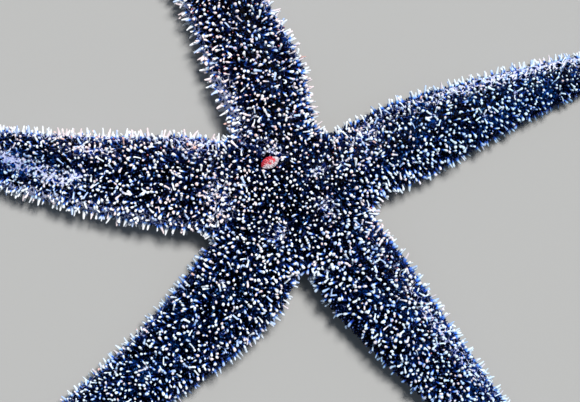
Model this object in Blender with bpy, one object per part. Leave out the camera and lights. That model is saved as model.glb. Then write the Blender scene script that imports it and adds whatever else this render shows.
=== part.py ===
"""A life-size spiny starfish lying flat on the floor, in the common asteriid form: a low disc, five long
tapering arms with their tips and eyespots, the sieve plate (madreporite) on top, and the mouth below.

Metres, +Z up. North is +Y. The floor is Z = 0, and the origin is under the middle of the whole outline.
Every cross-section of an arm is one closed profile: an arched back between the two widest edges, then a
narrow flat sole on each side of the groove that holds the tube feet. The disc is the same profiles, run in
from the five notches between the arms to one pole on top and one at the mouth."""

import math

import bmesh
import bpy
from mathutils import Matrix, Vector
from mathutils.bvhtree import BVHTree

MM = 0.001

# Arms, anticlockwise: the heading of the middle line at the root, half way and at the tip, in degrees from
# +X towards +Y, the length from the disc's centre to the tip, the width as a share of the usual one, and how
# far out the notch before the next arm lies from where the two arms' edges would meet.
ARMS = {
    "east": ((20, 22, 8), 102 * MM, 0.9, -3.3 * MM),
    "north": ((107, 121, 139), 121 * MM, 0.97, -0.9 * MM),
    "west": ((182, 171, 166), 122 * MM, 1.0, 0.8 * MM),
    "southwest": ((249, 218, 215), 126 * MM, 1.02, -2.3 * MM),
    "southeast": ((302, 312, 312), 119 * MM, 0.95, 0.7 * MM),
}

# Outline of the body with the crowd of its spines' roots, and how far inside it the bare skin lies
ARM_HALF_WIDTH = 15.6 * MM  # of a taper with no waist, at the disc's centre
SKIN_DEPTH = 0.45 * MM
TAPER_POWER = 0.76
BLUNTNESS = 0.045  # share of its length that an arm's taper would go on past the tip
NOSE = 3.0 * MM  # rounded end
WAIST = 0.2  # how much narrower an arm is where it joins the disc
WAIST_REACH = 0.17  # share of the arm's length over which that fades
NOTCH_ROUNDING = 1.6 * MM
NOTCH_SPREAD = 3.0 * MM
ROOT_EASE = 5.0 * MM

# Heights
CREST_BASE = 1.9 * MM
CREST_PER_WIDTH = 0.9
DISC_CREST = 15.0 * MM
DISC_REACH = 18 * MM  # how far along the arms the disc's own height is felt
EDGE_HEIGHT = 0.34  # height of the widest edge, as a share of the crest
NOTCH_HEIGHT = 4.4 * MM
BACK_ARCH = 0.85  # the arch is upright at an arm's edges
POLE_ARCH = 4.0  # and level where two arms' shares of the disc meet
GROOVE_DEPTH = 0.34
MOUTH_DEPTH = 5.0 * MM
MOUTH_RING = 0.19  # share of the way to the notches where the mouth's hollow has its upright wall
TIP_LIFT = 2.6 * MM
LIFT_START = 0.84

# Where the body is parted
NOTCH_RING = 20 * MM  # distance of the notches' ring from the centre, along each arm
ARM_START = 28 * MM
TIP_START = 0.84
GAP = 0.3 * MM

# Fineness of the solids
DISC_RINGS = 4
ROOT_RINGS = 3
ARM_RINGS = 13
TIP_RINGS = (0.0, 0.35, 0.7, 0.9, 0.99)  # shares of the tip's length, closer where it rounds off
BACK_COLUMNS = 9
SOLE_PROFILE = ((1.0, 1.0, 0.0), (0.80, 0.0, 0.0), (0.36, 0.0, 0.0), (0.20, 0.0, 0.75), (0.0, 0.0, 1.0))
PATH_STEPS = 240

# Spines and tube feet
SPINE_LENGTH = 1.95 * MM
SPINE_RADIUS = 0.75 * MM
EDGE_ROWS = (0, 8)  # columns of the back with a spine on every ring
SIDE_ROWS = (2, 4, 6)  # columns with one on every other ring, staggered
SMALLEST_BEARING_FACE = 6 * MM * MM  # that carries a spine or a tube foot
FOOT_RADIUS = 0.7 * MM
FOOT_CLEARANCE = 0.5 * MM
FOOT_COLUMNS = (3, 4)  # the two strips of the groove's roof

# Sieve plate
SIEVE_PLACE = (-7.0 * MM, 5.5 * MM)  # from the disc's centre
SIEVE_SIZE = (2.3 * MM, 1.75 * MM)
SIEVE_HEIGHT = 0.9 * MM  # above the disc's back
SIEVE_SEAT = 0.9 * MM  # below it
SIEVE_TURN = math.radians(24)
SIEVE_LOBES = 12
SIEVE_CLEARING = 3.4 * MM

# Mouth and eyespots
MOUTH_OUTER = 2.8 * MM
MOUTH_INNER = 1.3 * MM
MOUTH_BOTTOM = 1.6 * MM
MOUTH_TOP = MOUTH_DEPTH - GAP
MOUTH_JAWS = 5
EYESPOT_RADIUS = 0.95 * MM
EYESPOT_FORWARD = 0.7  # its thickness along the arm, as a share of its width

COLOURS = {
    "skin": (0.022, 0.026, 0.085, 1.0),
    "sieve": (0.72, 0.13, 0.12, 1.0),
    "mouth": (0.55, 0.42, 0.34, 1.0),
    "eyespot": (0.55, 0.05, 0.03, 1.0),
}
ROUGHNESS = {"skin": 0.42, "sieve": 0.5, "mouth": 0.5, "eyespot": 0.3}
SHARP_ANGLE = math.radians(50)


def smooth_step(x):
    x = min(1.0, max(0.0, x))
    return x * x * (3 - 2 * x)


class Arm:
    """One arm's middle line and sizes, by distance along it from the disc's centre."""

    def __init__(self, name, headings, length, width_share, notch_out):
        self.name = name
        self.headings = [math.radians(h) for h in headings]
        self.length = length
        self.width_share = width_share
        self.notch_out = notch_out
        self.points = [Vector((0.0, 0.0))]
        step = length / PATH_STEPS
        for i in range(PATH_STEPS):
            h = self.heading((i + 0.5) * step)
            self.points.append(self.points[-1] + step * Vector((math.cos(h), math.sin(h))))

    def heading(self, s):
        """A parabola through the headings at the root, half way and at the tip."""
        u = s / self.length
        root, middle, tip = self.headings
        return root * (1 - u) * (1 - 2 * u) + middle * 4 * u * (1 - u) + tip * u * (2 * u - 1)

    def centre(self, s):
        at = min(s / self.length * PATH_STEPS, PATH_STEPS - 1e-6)
        i = int(at)
        return self.points[i].lerp(self.points[i + 1], at - i)

    def leftward(self, s):
        h = self.heading(s)
        return Vector((-math.sin(h), math.cos(h)))

    def nose(self, s):
        """How much of its size an arm keeps in its rounded end."""
        x = max(0.0, 1 - (self.length - s) / NOSE)
        return math.sqrt(1 - x * x)

    def full_half_width(self, s):
        """Half the width with the spines' roots, as it would be with no rounded end."""
        u = s / self.length
        waist = 1 - WAIST * math.exp(-((u / WAIST_REACH) ** 2))
        taper = (1 - (1 - BLUNTNESS) * u) ** TAPER_POWER
        return self.width_share * ARM_HALF_WIDTH * waist * taper

    def half_width(self, s):
        return (self.full_half_width(s) - SKIN_DEPTH) * self.nose(s)

    def own_crest(self, s):
        return CREST_BASE + CREST_PER_WIDTH * self.full_half_width(s)

    def crest(self, s):
        """The height of the ridge, which runs up to the one height that all the arms share at the pole."""
        disc_share = math.exp(-((s / DISC_REACH) ** 2))
        full = self.own_crest(s) + (DISC_CREST - self.own_crest(0)) * disc_share
        return (full - SKIN_DEPTH) * self.nose(s)

    def lift(self, s):
        """How far the underside leaves the floor, where the tip turns up and rounds off."""
        turned_up = TIP_LIFT * smooth_step((s / self.length - LIFT_START) / (1 - LIFT_START))
        return turned_up + 0.4 * self.crest(self.length - NOSE) * (1 - self.nose(s))

    def bearing(self):
        c = self.centre(NOTCH_RING)
        return math.atan2(c.y, c.x)


def notch_between(arm, following):
    """The point of the outline between two neighbouring arms, on the line that halves their angle."""
    a = arm.bearing()
    turn = (following.bearing() - a) % (2 * math.pi)
    half_width = (arm.half_width(NOTCH_RING) + following.half_width(NOTCH_RING)) / 2
    reach = half_width / math.sin(turn / 2) + NOTCH_ROUNDING + arm.notch_out
    middle = a + turn / 2
    return reach * Vector((math.cos(middle), math.sin(middle)))


def bezier(p0, p1, p2, p3, t):
    k = 1 - t
    return k * k * k * p0 + 3 * k * k * t * p1 + 3 * k * t * t * p2 + t * t * t * p3


class Station:
    """One cross-section: its two edge points and middle in plan, and its heights."""

    def __init__(self, right, middle, left, crest, top_edge, sole_edge):
        self.right, self.middle, self.left = right, middle, left
        self.crest, self.top_edge, self.sole_edge = crest, top_edge, sole_edge
        self.groove = GROOVE_DEPTH * crest
        self.arch = BACK_ARCH
        self.lift = 0.0
        self.hollow = False

    def plan(self, v):
        """The point across the section at v, from -1 on the right edge to 1 on the left one."""
        bow = (self.left + self.right) / 2 - self.middle
        return self.middle + v * (self.left - self.right) / 2 + v * v * bow

    def back(self, share):
        """The point on the arched back at this share of the way round it, from right to left."""
        angle = math.pi * (share - 0.5)
        z = self.top_edge + (self.crest - self.top_edge) * max(0.0, math.cos(angle)) ** self.arch
        return Vector((*self.plan(math.sin(angle)), z + self.lift))

    def sole(self, v, edge_share, groove_share):
        z = MOUTH_DEPTH if self.hollow else edge_share * self.sole_edge + groove_share * self.groove
        return Vector((*self.plan(v), z + self.lift))

    def backs(self):
        return [self.back(i / BACK_COLUMNS) for i in range(BACK_COLUMNS + 1)]

    def soles(self):
        """The underside's points, from the right edge across the groove to the left one."""
        half = [(-v, e, g) for v, e, g in SOLE_PROFILE]
        return [self.sole(*p) for p in half + [(-v, e, g) for v, e, g in reversed(half[:-1])]]

    def ring(self):
        """The whole closed profile, in order: right edge, over the back, left edge, under the sole."""
        return self.backs() + self.soles()[-2:0:-1]


class Root:
    """One arm with the notches on its two sides, which give the disc's share and the arm's root."""

    def __init__(self, arm, right_notch, left_notch):
        self.arm, self.right_notch, self.left_notch = arm, right_notch, left_notch

    def disc_station(self, rho):
        """On the disc, from the pole at rho 0 to the notches at rho 1."""
        arm = self.arm
        s = rho * NOTCH_RING
        top_edge = NOTCH_HEIGHT + (arm.crest(0) - NOTCH_HEIGHT) * math.sqrt(1 - rho**3)
        sole_edge = NOTCH_HEIGHT * smooth_step((rho - 0.75) / 0.25)
        crest = arm.crest(s)
        station = Station(
            rho * self.right_notch, arm.centre(s), rho * self.left_notch, crest, top_edge, sole_edge
        )
        station.arch = POLE_ARCH + (BACK_ARCH - POLE_ARCH) * rho**2
        station.hollow = rho <= MOUTH_RING
        return station

    def edge(self, notch, side, t):
        """The outline from a notch to the arm's start. It leaves the notch square to the halving line."""
        arm = self.arm
        outward = notch.normalized()
        along_notch = side * Vector((outward.y, -outward.x))
        h = arm.heading(ARM_START)
        forward = Vector((math.cos(h), math.sin(h)))
        end = arm.centre(ARM_START) + side * arm.half_width(ARM_START) * arm.leftward(ARM_START)
        return bezier(notch, notch + NOTCH_SPREAD * along_notch, end - ROOT_EASE * forward, end, t)

    def root_station(self, t):
        """Between the notches at t 0 and the arm's start at t 1."""
        arm = self.arm
        s = NOTCH_RING + t * (ARM_START - NOTCH_RING)
        edge = NOTCH_HEIGHT + t * (EDGE_HEIGHT * arm.crest(ARM_START) - NOTCH_HEIGHT)
        right = self.edge(self.right_notch, -1, t)
        left = self.edge(self.left_notch, 1, t)
        return Station(right, arm.centre(s), left, arm.crest(s), edge, edge)

    def arm_station(self, s):
        arm = self.arm
        reach = arm.half_width(s) * arm.leftward(s)
        c = arm.centre(s)
        edge = EDGE_HEIGHT * arm.crest(s)
        station = Station(c - reach, c, c + reach, arm.crest(s), edge, edge)
        station.lift = arm.lift(s)
        return station


def make_roots():
    """The arms in their order round the disc, each with the notch before and after it."""
    arms = [Arm(name, *sizes) for name, sizes in ARMS.items()]
    notches = [notch_between(arm, arms[(i + 1) % len(arms)]) for i, arm in enumerate(arms)]
    return [Root(arm, notches[i - 1], notches[i]) for i, arm in enumerate(arms)]


def strip(bm, rows, closed=False):
    """Quads between successive rows of points: (row, column, face) for each, and the rows' vertices."""
    made = []
    lines = [[bm.verts.new(p) for p in row] for row in rows]
    columns = len(rows[0]) if closed else len(rows[0]) - 1
    for i in range(len(rows) - 1):
        for j in range(columns):
            k = (j + 1) % len(rows[0])
            corners = (lines[i][j], lines[i][k], lines[i + 1][k], lines[i + 1][j])
            made.append((i, j, bm.faces.new(corners)))
    return made, lines


def grow_spine(bm, face, length):
    """Turns a face into a spine: a four-sided point on a foot of even size in the face's middle."""
    centre = face.calc_center_median()
    direction = face.normal.copy()
    radius = min(SPINE_RADIUS, 0.45 * min(edge.calc_length() for edge in face.edges))
    corners = list(face.verts)
    feet = [bm.verts.new(centre + radius * (v.co - centre).normalized()) for v in corners]
    tip = bm.verts.new(centre + length * direction)
    bm.faces.remove(face)
    for i in range(len(corners)):
        k = (i + 1) % len(corners)
        bm.faces.new((corners[i], corners[k], feet[k], feet[i]))
        bm.faces.new((feet[i], feet[k], tip))


def grow_tube_foot(bm, face):
    """Turns a face of the groove's roof into a blunt tube foot that ends just above the floor."""
    centre = face.calc_center_median()
    drop = Vector((0, 0, max(0.0, centre.z - FOOT_CLEARANCE)))
    corners = list(face.verts)
    shortest = min(edge.calc_length() for edge in face.edges)
    radius = min(FOOT_RADIUS, 0.4 * shortest)
    tops = [bm.verts.new(centre + radius * (v.co - centre).normalized()) for v in corners]
    ends = [bm.verts.new(Vector((v.co.x, v.co.y, centre.z)) - drop) for v in tops]
    bm.faces.remove(face)
    for i in range(len(corners)):
        k = (i + 1) % len(corners)
        bm.faces.new((corners[i], corners[k], tops[k], tops[i]))
        bm.faces.new((tops[i], tops[k], ends[k], ends[i]))
    bm.faces.new(ends)


def material(kind):
    made = bpy.data.materials.get(kind) or bpy.data.materials.new(kind)
    made.use_nodes = True
    shader = made.node_tree.nodes["Principled BSDF"]
    shader.inputs["Base Color"].default_value = COLOURS[kind]
    shader.inputs["Roughness"].default_value = ROUGHNESS[kind]
    shader.inputs["Metallic"].default_value = 0.0
    return made


def make_object(name, bm, kind, origin, parent):
    """An object with its own origin, whose faces all point out, smooth but for its sharp edges."""
    bmesh.ops.recalc_face_normals(bm, faces=bm.faces)
    bmesh.ops.translate(bm, verts=bm.verts, vec=-origin)
    mesh = bpy.data.meshes.new(name)
    bm.to_mesh(mesh)
    bm.free()
    mesh.shade_smooth()
    mesh.set_sharp_from_angle(angle=SHARP_ANGLE)
    mesh.materials.append(material(kind))
    obj = bpy.data.objects.new(name, mesh)
    obj.location = origin
    obj.parent = parent
    bpy.context.scene.collection.objects.link(obj)
    return obj


def on_sieve(point):
    return (point.xy - Vector(SIEVE_PLACE)).length < SIEVE_CLEARING


def make_disc(roots, parent):
    """The disc with the five arm roots, ending in a flat face at each arm's start."""
    bm = bmesh.new()
    spiny = []
    feet = []
    for root in roots:
        inner = [root.disc_station(i / DISC_RINGS) for i in range(DISC_RINGS + 1)]
        outer = [root.root_station((i + 1) / ROOT_RINGS) for i in range(ROOT_RINGS)]
        backs, _ = strip(bm, [s.backs() for s in inner + outer])
        wall = [inner[0], root.disc_station(MOUTH_RING)]
        soles, _ = strip(bm, [s.soles() for s in wall + inner[1:] + outer])
        spiny += [f for i, j, f in backs if i and (i + j) % 2 == 0 and j % 4 != 3]
        feet += [f for i, j, f in soles if i > 4 and j in FOOT_COLUMNS and (i + j) % 2]
        bm.faces.new([bm.verts.new(p) for p in outer[-1].ring()])
    bmesh.ops.remove_doubles(bm, verts=bm.verts, dist=GAP / 30)
    bmesh.ops.dissolve_degenerate(bm, edges=bm.edges, dist=GAP / 30)
    bmesh.ops.recalc_face_normals(bm, faces=bm.faces)
    above = Vector((*SIEVE_PLACE, 1.0))
    seat, normal, _, _ = BVHTree.FromBMesh(bm).ray_cast(above, Vector((0, 0, -1)))
    for face in spiny:
        if not face.is_valid or face.calc_area() < SMALLEST_BEARING_FACE:
            continue
        if not on_sieve(face.calc_center_median()):
            grow_spine(bm, face, SPINE_LENGTH)
    for face in feet:
        if face.is_valid:
            grow_tube_foot(bm, face)
    return make_object("disc", bm, "skin", Vector((0, 0, 0)), parent), seat, normal


def make_length(name, root, start, end, shares, feet, parent):
    """A length of one arm, with a ring at each share of the way, flat at both ends."""
    bm = bmesh.new()
    stations = [root.arm_station(start + share * (end - start)) for share in shares]
    sides, lines = strip(bm, [s.ring() for s in stations], closed=True)
    bm.faces.new(lines[0])
    bm.faces.new(lines[-1])
    bmesh.ops.recalc_face_normals(bm, faces=bm.faces)
    for i, j, face in sides:
        tapered = root.arm.half_width(start + shares[i] * (end - start)) / ARM_HALF_WIDTH
        if face.calc_area() < SMALLEST_BEARING_FACE:
            continue
        if j in EDGE_ROWS or (j in SIDE_ROWS and (i + j // 2) % 2):
            grow_spine(bm, face, SPINE_LENGTH * tapered**0.3)
        elif feet and j - BACK_COLUMNS in FOOT_COLUMNS and (i + j) % 2:
            grow_tube_foot(bm, face)
    origin = Vector((*root.arm.centre(start), 0.0))
    return make_object(name, bm, "skin", origin, parent)


def make_arm(root, parent):
    arm = root.arm
    tip = TIP_START * arm.length
    even = [i / ARM_RINGS for i in range(ARM_RINGS + 1)]
    make_length(f"arm_{arm.name}", root, ARM_START + GAP, tip - GAP, even, True, parent)
    make_length(f"arm_tip_{arm.name}", root, tip, arm.length, TIP_RINGS, False, parent)


def make_eyespot(root, parent):
    """A small red bead on the end face of an arm's tip."""
    arm = root.arm
    s = (TIP_START + TIP_RINGS[-1] * (1 - TIP_START)) * arm.length
    h = arm.heading(s)
    depth = EYESPOT_RADIUS * EYESPOT_FORWARD
    middle = arm.centre(s) + (depth + GAP) * Vector((math.cos(h), math.sin(h)))
    origin = Vector((*middle, arm.lift(s) + 0.5 * arm.crest(s)))
    bm = bmesh.new()
    bmesh.ops.create_uvsphere(bm, u_segments=8, v_segments=4, radius=EYESPOT_RADIUS)
    flatten = Matrix.Diagonal((EYESPOT_FORWARD, 1, 1, 1))
    bmesh.ops.transform(bm, matrix=Matrix.Rotation(h, 4, "Z") @ flatten, verts=bm.verts)
    bmesh.ops.translate(bm, verts=bm.verts, vec=origin)
    return make_object(f"eyespot_{arm.name}", bm, "eyespot", origin, parent)


def lathe(profile, sides, shape):
    """A closed turned body from (radius, height) pairs. Shape gives a unit radius in plan, by angle."""
    bm = bmesh.new()
    plan = [shape(2 * math.pi * i / sides) for i in range(sides)]
    rows = [[Vector((r * x, r * y, z)) for x, y in plan] for r, z in profile]
    strip(bm, rows, closed=True)
    bmesh.ops.remove_doubles(bm, verts=bm.verts, dist=GAP / 30)
    bmesh.ops.dissolve_degenerate(bm, edges=bm.edges, dist=GAP / 30)
    return bm


def sieve_body(grow):
    """The sieve plate's oval button, with a scalloped rim, larger all round by grow."""

    def shape(angle):
        scallop = 1 + 0.05 * math.cos(SIEVE_LOBES * angle)
        return (
            (SIEVE_SIZE[0] * scallop + grow) * math.cos(angle),
            (SIEVE_SIZE[1] * scallop + grow) * math.sin(angle),
        )

    top = SIEVE_HEIGHT + grow
    bottom = -SIEVE_SEAT - grow
    profile = ((0.0, bottom), (0.86, bottom), (1.0, 0.0), (0.9, 0.7 * top), (0.55, top), (0.0, top))
    return lathe(profile, 2 * SIEVE_LOBES, shape)


def make_sieve(disc, seat, normal, parent):
    """The sieve plate, and the seat that is cut for it in the disc, square to the back where it lies."""
    tilt = Vector((0, 0, 1)).rotation_difference(normal).to_matrix().to_4x4()
    matrix = Matrix.Translation(seat) @ tilt @ Matrix.Rotation(SIEVE_TURN, 4, "Z")
    hole = sieve_body(GAP)
    bmesh.ops.transform(hole, matrix=matrix, verts=hole.verts)
    cutter = make_object("sieve_seat", hole, "sieve", Vector((0, 0, 0)), parent)
    cutter.hide_render = True
    cutter.display_type = "WIRE"
    cut = disc.modifiers.new("sieve_seat", "BOOLEAN")
    cut.operation = "DIFFERENCE"
    cut.solver = "EXACT"
    cut.object = cutter
    body = sieve_body(0.0)
    bmesh.ops.transform(body, matrix=matrix, verts=body.verts)
    return make_object("madreporite", body, "sieve", seat, parent)


def make_mouth(parent):
    """The lip round the mouth, with a blunt jaw between each pair of grooves."""
    sides = 4 * MOUTH_JAWS
    first = math.radians(30)

    def shape(angle):
        jaw = 1 + 0.12 * math.cos(MOUTH_JAWS * (angle - first))
        return jaw * math.cos(angle), jaw * math.sin(angle)

    middle = (MOUTH_BOTTOM + MOUTH_TOP) / 2
    profile = (
        (MOUTH_INNER, MOUTH_TOP),
        (MOUTH_OUTER, MOUTH_TOP),
        (MOUTH_OUTER + 0.3 * MM, middle),
        (0.8 * MOUTH_OUTER, MOUTH_BOTTOM),
        (MOUTH_INNER, middle),
        (MOUTH_INNER, MOUTH_TOP),
    )
    return make_object("mouth", lathe(profile, sides, shape), "mouth", Vector((0, 0, 0)), parent)


def centre_on_outline(parent):
    """Moves the whole model so that the origin is under the middle of its outline."""
    bpy.context.view_layer.update()
    shown = [o for o in bpy.data.objects if o.type == "MESH" and not o.hide_render]
    corners = [o.matrix_world @ Vector(c) for o in shown for c in o.bound_box]
    low = Vector(map(min, zip(*corners)))
    high = Vector(map(max, zip(*corners)))
    parent.location = Vector((-(low.x + high.x) / 2, -(low.y + high.y) / 2, 0.0))


def main():
    for obj in list(bpy.data.objects):
        bpy.data.objects.remove(obj)
    starfish = bpy.data.objects.new("starfish", None)
    bpy.context.scene.collection.objects.link(starfish)
    roots = make_roots()
    disc, seat, normal = make_disc(roots, starfish)
    for root in roots:
        make_arm(root, starfish)
        make_eyespot(root, starfish)
    make_sieve(disc, seat, normal, starfish)
    make_mouth(starfish)
    centre_on_outline(starfish)


main()
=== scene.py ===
"""A life-size spiny starfish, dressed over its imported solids: one wet skin, several thousand spines, the soft
gills between them, the tube feet, the sieve plate, the mouth and the eyespots.

Metres, +Z up, with the floor at Z = 0."""

import math
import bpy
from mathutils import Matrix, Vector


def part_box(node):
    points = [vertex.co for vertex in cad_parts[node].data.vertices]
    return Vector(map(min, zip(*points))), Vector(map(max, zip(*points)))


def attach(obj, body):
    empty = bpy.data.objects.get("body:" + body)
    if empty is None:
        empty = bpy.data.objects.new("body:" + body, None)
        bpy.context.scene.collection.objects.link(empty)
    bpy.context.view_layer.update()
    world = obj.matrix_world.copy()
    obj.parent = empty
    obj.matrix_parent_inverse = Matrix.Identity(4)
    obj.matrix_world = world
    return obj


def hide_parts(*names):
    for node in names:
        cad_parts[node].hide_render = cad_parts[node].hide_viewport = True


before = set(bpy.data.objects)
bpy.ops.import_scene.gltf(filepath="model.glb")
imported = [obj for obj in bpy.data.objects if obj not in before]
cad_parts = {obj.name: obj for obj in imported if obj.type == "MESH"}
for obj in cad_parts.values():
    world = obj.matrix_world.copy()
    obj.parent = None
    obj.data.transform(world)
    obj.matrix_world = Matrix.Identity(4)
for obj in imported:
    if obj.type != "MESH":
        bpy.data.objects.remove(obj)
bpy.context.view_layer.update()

from types import SimpleNamespace

import bmesh
import bpy
import numpy as np
from mathutils import Vector
from mathutils.kdtree import KDTree

MM = 0.001
UP = np.array([0, 0, 1.0])

# The body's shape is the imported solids' own, drawn in by INSET, the depth of the spines' roots. Arms,
# anticlockwise: the heading of the middle line in degrees at the root, half way and at the tip, the length,
# the share of the usual width, and how far out the notch before the next arm lies.
ARMS = {
    "east": ((20, 22, 8), 102 * MM, 0.9, -3.3 * MM),
    "north": ((107, 121, 139), 121 * MM, 0.97, -0.9 * MM),
    "west": ((182, 171, 166), 122 * MM, 1.0, 0.8 * MM),
    "southwest": ((249, 218, 215), 126 * MM, 1.02, -2.3 * MM),
    "southeast": ((302, 312, 312), 119 * MM, 0.95, 0.7 * MM),
}
INSET = 0.9 * MM

# An arm's width and how it tapers, narrows at the waist near the root, and ends in a round nose
ARM_HALF_WIDTH = 15.6 * MM
TAPER_POWER = 0.76
BLUNTNESS = 0.045
NOSE = 3.0 * MM
NOSE_RISE = 0.4
WAIST = 0.2
WAIST_REACH = 0.17
TIP_LIFT = 2.6 * MM
LIFT_START = 0.84
PATH_STEPS = 240

# The disc reaches out to the ring with the notches, and the arms are themselves from ARM_START on
NOTCH_RING = 20 * MM
NOTCH_ROUNDING = 1.6 * MM
NOTCH_SPREAD = 3.0 * MM
NOTCH_HEIGHT = 4.4 * MM
ARM_START = 28 * MM
ROOT_EASE = 5.0 * MM

# Heights of the crest, the edge, the arched back, and the underside with its groove and the hollow at the mouth
CREST_BASE = 1.9 * MM
CREST_PER_WIDTH = 0.9
DISC_CREST = 15.0 * MM
DISC_REACH = 18 * MM
EDGE_HEIGHT = 0.34
BACK_ARCH = 0.85
POLE_ARCH = 4.0
SOLE_FLAT, SOLE_ROUND = 0.8, 0.2
GROOVE_DEPTH = 0.34
GROOVE_EDGE, GROOVE_SLOPE = 0.42, 0.27
MOUTH_DEPTH = 5.0 * MM
MOUTH_RADIUS = 4.7 * MM
MOUTH_SLOPE = 1.6 * MM

# Where the sieve plate lies from the disc's centre, how it is turned, and the clearing round it
SIEVE_PLACE = Vector((-7.0 * MM, 5.5 * MM))
SIEVE_TURN = math.radians(24)
SIEVE_CLEARING = (2.5 * MM, 2.0 * MM)

# Fineness of the skin, and how close points have to be to become one
SKIN_STEP = 0.7 * MM
BACK_COLUMNS = 60
SOLE_COLUMNS = 44
WELD = 0.002 * MM

# The unwrap, shared by the skin and by all that grows on it: a row for each arm, its back and then its sole.
# UNWRAP_ACROSS is about how far it is from edge to edge over the back, in half widths.
UNWRAP_SIZE = 270 * MM
UNWRAP_ROW = 48 * MM
UNWRAP_FIRST = 0.55
UNWRAP_COLUMN = 134 * MM
UNWRAP_MARGIN = 3 * MM
UNWRAP_ACROSS = 2.9
PATCH = 0.003

# All that grows has its full size where the arm's half width is the usual one. SWELL is how much its radius
# varies and ROUGHNESS how uneven it is, as shares of the radius.
USUAL_WIDTH = 12 * MM
SWELL = 0.08
ROUGHNESS = 0.07

# Sizes of a usual spine, and the shares of them that the back's spines have
SPINE_LENGTH, LENGTHS = 1.85 * MM, (0.8, 1.1)
SPINE_RADIUS, RADII = 0.355 * MM, (0.68, 1.18)

# Where the back's spines stand: SPINE_TRIES random places are tried on each arm, and the ones too close are
# left out. The spacing grows from DISC_END on and down the flanks, and varies at random and in crowds.
SPINE_TRIES = 11000
SPINE_SPACING = 1.36 * MM
DISC_SPACING = 1.07 * MM
DISC_END, DISC_FADE, GILL_FADE = 8 * MM, 22 * MM, 14 * MM
FLANK, FLANK_SLOPE, FLANK_SPACING = 0.7, 0.3, 1.45
SPACINGS = (0.72, 1.4)
CROWDING, CROWDS = 0.16, 1400

# UPRIGHT and LEANING are how far the two sorts lean, STANDING_ON_DISC is the share of upright ones there,
# DIM_LOSS the share that is missing in a dim marking, and TWINS the share of the roots with a second spine.
UPRIGHT, LEANING, MOST_LEAN = np.radians(9), np.radians(37), np.radians(55)
STANDING_ON_DISC = 0.75
DIM_LOSS = 0.45
TWINS = 0.13
TWIN_LEAN = 0.5
TWIN_SIZE = 0.92
STAR_TRIES = 400
STAR_SPACING = 8 * MM
STAR_REACH = 1.3 * MM
WARM_TIP, WARM_TIPS = (0.85, 0.3, 0.2), (0.12, 0.4)

# How the spines differ from arm to arm, in the order of ARMS: how far apart and how stout they are, and the
# share of them that stand upright
APART = np.array([1.0, 1.0, 0.93, 1.04, 0.98])
STOUTNESS = np.array([1.0, 1.0, 1.0, 1.0, 1.1])
STANDING = np.array([0.35, 0.28, 0.32, 0.34, 0.2])

# The low mounds of skin round the spines' roots: how high they are, and how wide
MOUND_HEIGHT = 0.38 * MM
MOUND_REACH = 0.55 * MM

# The gills, with how far they stay from a spine, and the shares of pale, slimmer ones on the disc and the arms
GILL_LENGTH = 0.55 * MM
GILL_RADIUS = 0.2 * MM
GILL_SPACING = 0.85 * MM
GILL_TRIES = 24000
GILL_CLEARING = 0.42 * MM
GILL_LEAN = np.radians(18)
PALE_GILLS = (0.08, 0.26)
DARK_GILL = np.array([0.002, 0.006, 0.024])
PALE_GILL = np.array([0.66, 0.8, 1.0])
WARM_GILL = (1.4, 0.4, 0.26)

# Rows of the fringe on each edge: on the underside or not, share in from the edge, step, how many spines at
# most on one foot, length and radius as shares of a usual spine's, and rise
FRINGE = (
    (False, 0.06, 2.1 * MM, 2, 1.18, 1.08, 0.4),
    (True, 0.03, 2.9 * MM, 1, 1.0, 1.1, -0.2),
    (True, 0.10, 2.4 * MM, 1, 0.85, 0.95, -0.7),
)
FRINGE_END = 2.5 * MM  # before the arm's end, where the rows stop

# The spines of one foot: how likely each one is, how far aside it leans, and its share of the length
FOOTMATES = ((0.85, 0.0, 1.0), (0.15, 0.45, 0.8))

# One arm also has a comb of slender spines near its root, on the right edge
COMB = (False, 0.12, 0.95 * MM, 1, 1.35, 0.75, 0.5)
COMB_ARM, COMB_END = "north", 29.5 * MM

# Rows of spines on both sides of the sole: where from the middle at 0 to the edge at 1, step, length, radius,
# and how far they lean inwards. UNDER_GAP is what they leave above the floor, and FLOOR_GAP what others do.
UNDER_ROWS = (
    (0.42, 1.05 * MM, 2.0 * MM, 0.2 * MM, 1.0),
    (0.50, 1.25 * MM, 1.2 * MM, 0.25 * MM, 0.3),
    (0.62, 1.6 * MM, 1.0 * MM, 0.3 * MM, -0.3),
    (0.76, 1.8 * MM, 1.2 * MM, 0.32 * MM, -1.0),
)
FLOOR_GAP, UNDER_GAP = 0.25 * MM, 0.42 * MM

# Rows of tube feet on both sides of the groove: where, and by how much of a step they are shifted. FOOT_GAP is
# the least they leave above the floor, unless they'd be shorter than FOOT_LEAST.
FOOT_ROWS = ((0.10, 0.0), (0.24, 0.5))
FOOT_STEP = 1.75 * MM
FOOT_RADIUS = 0.5 * MM
FOOT_LEAST = 0.5 * MM
FOOT_GAP = 0.35 * MM

# The sieve plate: its radii, how high its middle and its ridges stand, how deep it goes into the skin, and how
# far its rim lies below the solids' top
SIEVE_RADII = (2.3 * MM, 1.55 * MM)
SIEVE_HEIGHT = 0.85 * MM
SIEVE_RIDGE = 0.14 * MM
SIEVE_BASE = 1.5 * MM
SIEVE_DROP = 1.15 * MM
SIEVE_ROWS, SIEVE_COLUMNS = 22, 128

# Its outline's lobes and notches: where round it and how wide in degrees, and how far out
SIEVE_BULGES = ((5, 24, 0.1), (48, 14, -0.08), (195, 20, 0.06), (235, 16, -0.05))

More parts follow.
